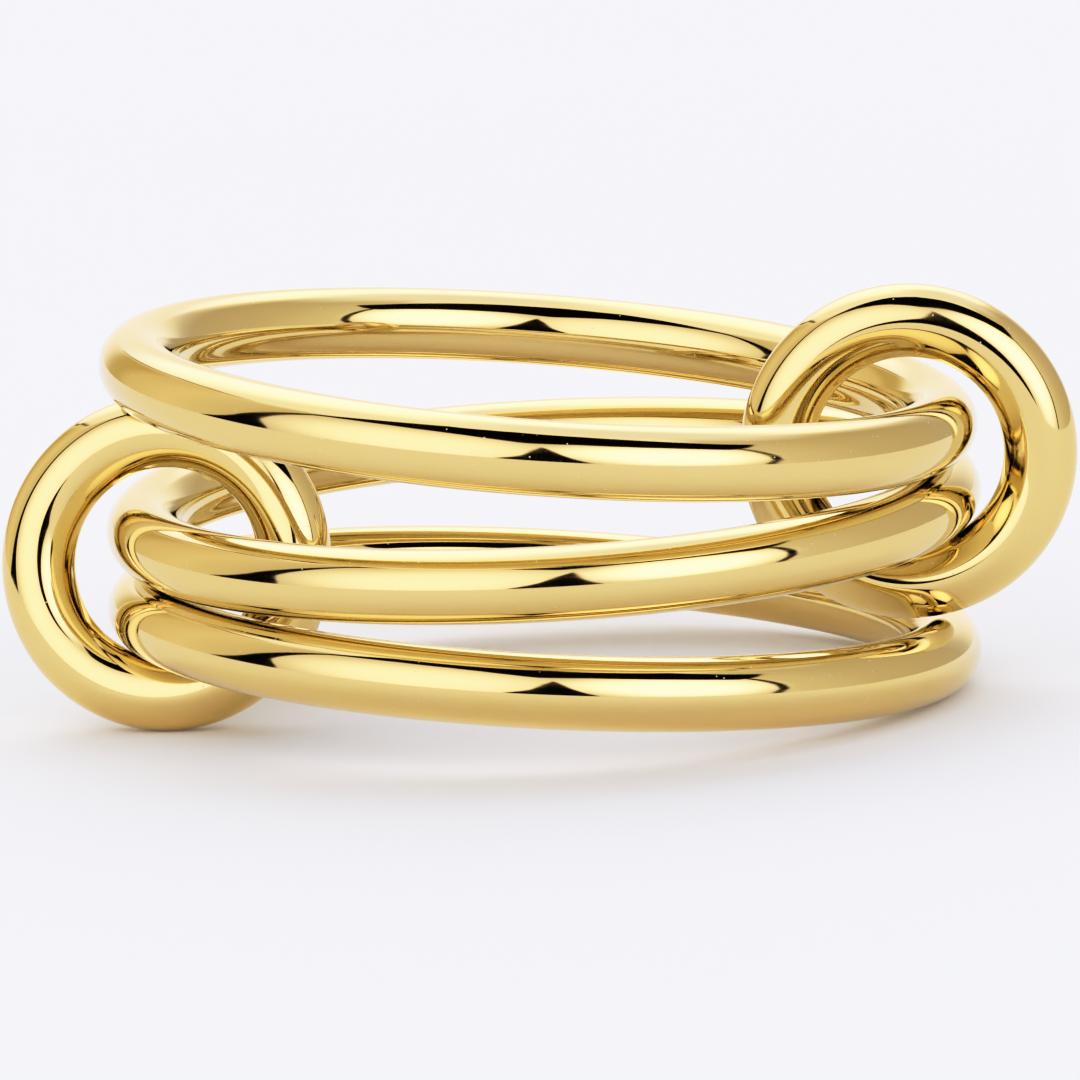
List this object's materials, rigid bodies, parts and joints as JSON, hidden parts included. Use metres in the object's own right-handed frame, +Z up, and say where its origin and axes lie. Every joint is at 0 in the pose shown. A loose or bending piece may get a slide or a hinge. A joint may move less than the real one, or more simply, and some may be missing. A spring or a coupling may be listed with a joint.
{
  "type": "interlocking ring",
  "caption": "Finger ring of round-wire bands lying stacked and held together by small closed links that pass round neighbouring bands.",
  "frame": {"origin": "on the surface that the ring lies on, under the middle of its bounding box", "axes": "+Z up, along the finger passage; +X from the left link to the right link; -Y to the front, where the picture was taken from"},
  "size_m": [0.0256, 0.022, 0.0098],
  "materials": {
    "gold": "polished"
  },
  "bodies": {
    "root": {"top_band": "gold", "middle_band": "gold", "bottom_band": "gold", "left_link": "gold", "right_link": "gold"}
  },
  "joints": []
}
